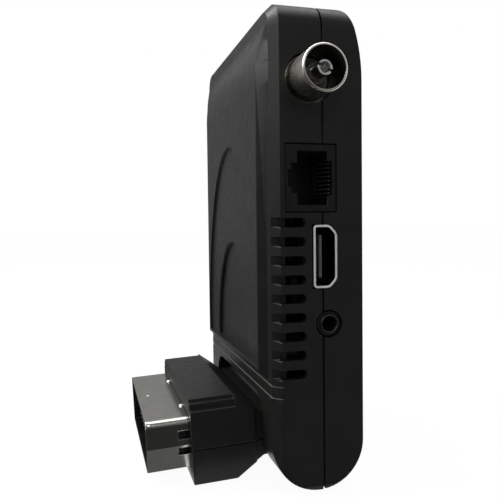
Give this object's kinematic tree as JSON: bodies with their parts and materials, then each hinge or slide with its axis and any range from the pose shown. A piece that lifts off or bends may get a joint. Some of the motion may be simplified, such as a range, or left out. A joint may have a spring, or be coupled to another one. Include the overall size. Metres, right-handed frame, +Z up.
{
  "type": "terrestrial tv decoder",
  "caption": "Black plug-in television decoder with ports along one edge and a hinged audio and video plug at its foot.",
  "frame": {"origin": "on the ground under the middle of the whole object's outer box, with the plug forward", "axes": "+Z up as the decoder stands, -X the way the front faces and the plug points, -Y the edge with the aerial, network, video and infrared ports"},
  "size_m": [0.0522, 0.083, 0.1172],
  "materials": {
    "black_case": "fine spark-eroded grain",
    "black_hood": "fine grain",
    "black_connector": "smooth",
    "cream_plastic": "smooth",
    "dark_steel": "blackened",
    "tinned_steel": "tinned",
    "satin_nickel": "satin nickel plate",
    "warm_nickel": "nickel plate",
    "bright_nickel": "bright nickel plate",
    "gilt": "gold flash",
    "board_green": "solder mask",
    "chip_black": "moulded",
    "grey_aluminium": "extruded",
    "capacitor_sleeve": "sleeve",
    "coil_grey": "ferrite",
    "lead_sleeve": "sleeved leads"
  },
  "bodies": {
    "case": {"front_shell": "black_case", "rear_shell": "black_case", "case_screws": "dark_steel", "main_board": "board_green", "tuner_can": "tinned_steel", "aerial_socket_tube": "warm_nickel", "aerial_insulator": "cream_plastic", "aerial_contact": "warm_nickel", "network_socket": "black_connector", "network_contacts": "gilt", "video_socket_shell": "bright_nickel", "video_socket_insert": "black_connector", "video_contacts": "gilt", "infrared_socket": "black_connector", "infrared_contacts": "tinned_steel", "usb_shell": "bright_nickel", "usb_insert": "cream_plastic", "usb_contacts": "gilt", "power_socket": "black_connector", "power_pin": "bright_nickel", "processor_chip": "chip_black", "heat_sink": "grey_aluminium", "memory_chip": "chip_black", "capacitors": "capacitor_sleeve", "power_coil": "coil_grey", "crystal": "tinned_steel", "harness_header": "cream_plastic", "case_harness": "lead_sleeve", "hinge_bush_near": "cream_plastic", "hinge_bush_far": "cream_plastic", "friction_washers": "tinned_steel"},
    "plug": {"hinge_axle_near": "tinned_steel", "hinge_axle_far": "tinned_steel", "plug_hood": "black_hood", "plug_cover": "black_hood", "plug_screws": "dark_steel", "plug_shield": "satin_nickel", "plug_insulator": "black_connector", "plug_contacts": "bright_nickel", "plug_harness": "lead_sleeve"}
  },
  "joints": [
    {"name": "plug_swivel", "type": "hinge", "parent": "case", "child": "plug", "pos_m": [0.01458, 0.00485, 0.0115], "axis": [0, -1, 0], "range_deg": [-2.64, 177.36]}
  ]
}
